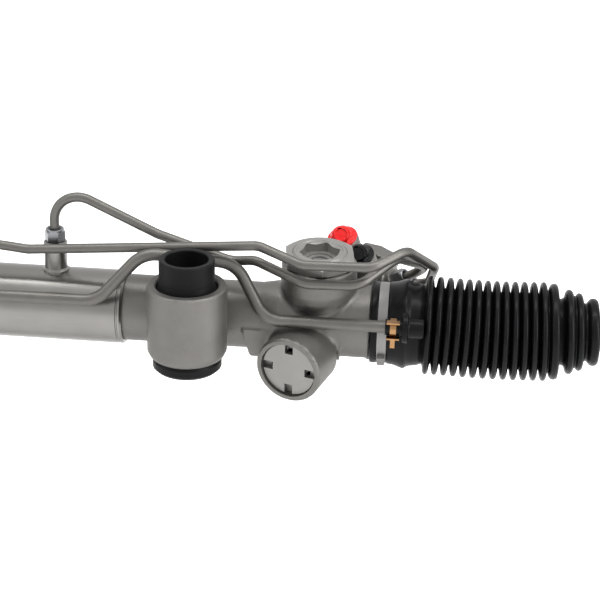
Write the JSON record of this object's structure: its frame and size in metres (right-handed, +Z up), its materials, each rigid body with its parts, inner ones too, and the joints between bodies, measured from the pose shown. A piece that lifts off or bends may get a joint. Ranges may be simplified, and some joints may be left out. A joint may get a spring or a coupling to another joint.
{
  "type": "steering rack",
  "caption": "Hydraulic power steering rack with cylinder, pinion valve housing, pipes, gaiters, bush mount and inner tie rods.",
  "frame": {"origin": "centre of the mounting bush bore, halfway up the cast eye", "axes": "+X along the rack towards the end with the pinion and the valve, +Y backwards to the rack and the steering input, +Z up along the bush bolt"},
  "size_m": [1.19, 0.1969, 0.1229],
  "materials": {
    "cast_aluminium": "bead-blasted casting",
    "tube_steel": "satin, drawn",
    "dark_steel": "dark phosphate",
    "seal_rubber": "matt",
    "ground_steel": "ground",
    "ring_plastic": "filled PTFE",
    "bush_rubber": "matt moulded",
    "zinc": "zinc plated",
    "machined_aluminium": "machined",
    "black_rubber": "satin moulded",
    "seat_plastic": "moulded",
    "pipe_steel": "plated tube",
    "yellow_zinc": "yellow chromate",
    "stainless": "satin stainless",
    "red_plastic": "moulded",
    "black_plastic": "moulded"
  },
  "bodies": {
    "housing": {"gear_housing": "cast_aluminium", "cylinder_tube": "tube_steel", "cylinder_ports": "tube_steel", "end_stopper": "dark_steel", "end_seal": "seal_rubber", "inner_bulkhead": "dark_steel", "inner_seal": "seal_rubber", "bush_rubber": "bush_rubber", "bush_sleeve": "dark_steel", "pinion_cap": "machined_aluminium", "lower_bearing_outer": "ground_steel", "upper_bearing": "ground_steel", "valve_housing": "cast_aluminium", "valve_bolts": "zinc", "pinion_seal": "seal_rubber", "input_seal": "seal_rubber", "input_snap_ring": "zinc", "rack_guide": "machined_aluminium", "guide_liner": "seat_plastic", "guide_spring": "dark_steel", "guide_o_ring": "seal_rubber", "guide_cap": "machined_aluminium", "guide_lock_nut": "machined_aluminium", "pressure_pipe_a": "pipe_steel", "pressure_pipe_b": "pipe_steel", "flare_nuts": "zinc", "breather_pipe": "pipe_steel", "breather_sleeves": "black_rubber", "breather_clips": "yellow_zinc", "boot_right": "black_rubber", "boot_left": "black_rubber", "boot_bands": "stainless", "pressure_plug": "red_plastic", "return_plug": "black_plastic", "saddle_grommet": "bush_rubber", "saddle_bracket": "dark_steel"},
    "rack": {"rack_bar": "ground_steel", "piston": "dark_steel", "piston_ring": "ring_plastic", "piston_clips": "dark_steel", "socket_right": "dark_steel", "socket_left": "dark_steel", "lock_washer_right": "zinc", "lock_washer_left": "zinc"},
    "pinion": {"pinion_shaft": "ground_steel", "pinion_nut": "zinc", "lower_bearing_inner": "ground_steel", "torsion_bar": "ground_steel", "valve_sleeve": "ground_steel", "valve_sleeve_rings": "ring_plastic"},
    "input": {"input_shaft": "ground_steel", "dust_cover": "black_rubber"},
    "seat_right": {"ball_seat_right": "seat_plastic"},
    "seat_left": {"ball_seat_left": "seat_plastic"},
    "tie_rod_right": {"tie_rod_right": "dark_steel", "jam_nut_right": "zinc", "boot_clip_right": "zinc"},
    "tie_rod_left": {"tie_rod_left": "dark_steel", "jam_nut_left": "zinc", "boot_clip_left": "zinc"}
  },
  "joints": [
    {"name": "rack_slide", "type": "slide", "parent": "housing", "child": "rack", "axis": [1, 0, 0], "range_m": [-0.065, 0.065], "deforming": ["boot_right", "boot_left"]},
    {"name": "pinion_turn", "type": "hinge", "parent": "housing", "child": "pinion", "pos_m": [0.082, 0.04505, -0.02846], "axis": [0.3256, 0.9432, 0.066], "range_deg": [-560, 560]},
    {"name": "valve_twist", "type": "hinge", "parent": "pinion", "child": "input", "pos_m": [0.10642, 0.11579, -0.02352], "axis": [0.3256, 0.9432, 0.066], "range_deg": [-4, 4], "stiffness_Nm_per_rad": 80},
    {"name": "right_joint_rise", "type": "hinge", "parent": "rack", "child": "seat_right", "pos_m": [0.224, 0.044, -0.0135], "axis": [0, 1, 0], "range_deg": [-19, 25]},
    {"name": "right_joint_sweep", "type": "hinge", "parent": "seat_right", "child": "tie_rod_right", "pos_m": [0.224, 0.044, -0.0135], "axis": [0, 0, 1], "range_deg": [-15, 15], "deforming": ["boot_right"]},
    {"name": "left_joint_rise", "type": "hinge", "parent": "rack", "child": "seat_left", "pos_m": [-0.442, 0.044, -0.0135], "axis": [0, 1, 0], "range_deg": [-25, 19]},
    {"name": "left_joint_sweep", "type": "hinge", "parent": "seat_left", "child": "tie_rod_left", "pos_m": [-0.442, 0.044, -0.0135], "axis": [0, 0, 1], "range_deg": [-15, 15], "deforming": ["boot_left"]}
  ],
  "couplings": [
    {"joint": "pinion_turn", "follows": "rack_slide", "rad_per_m": 150.08}
  ]
}
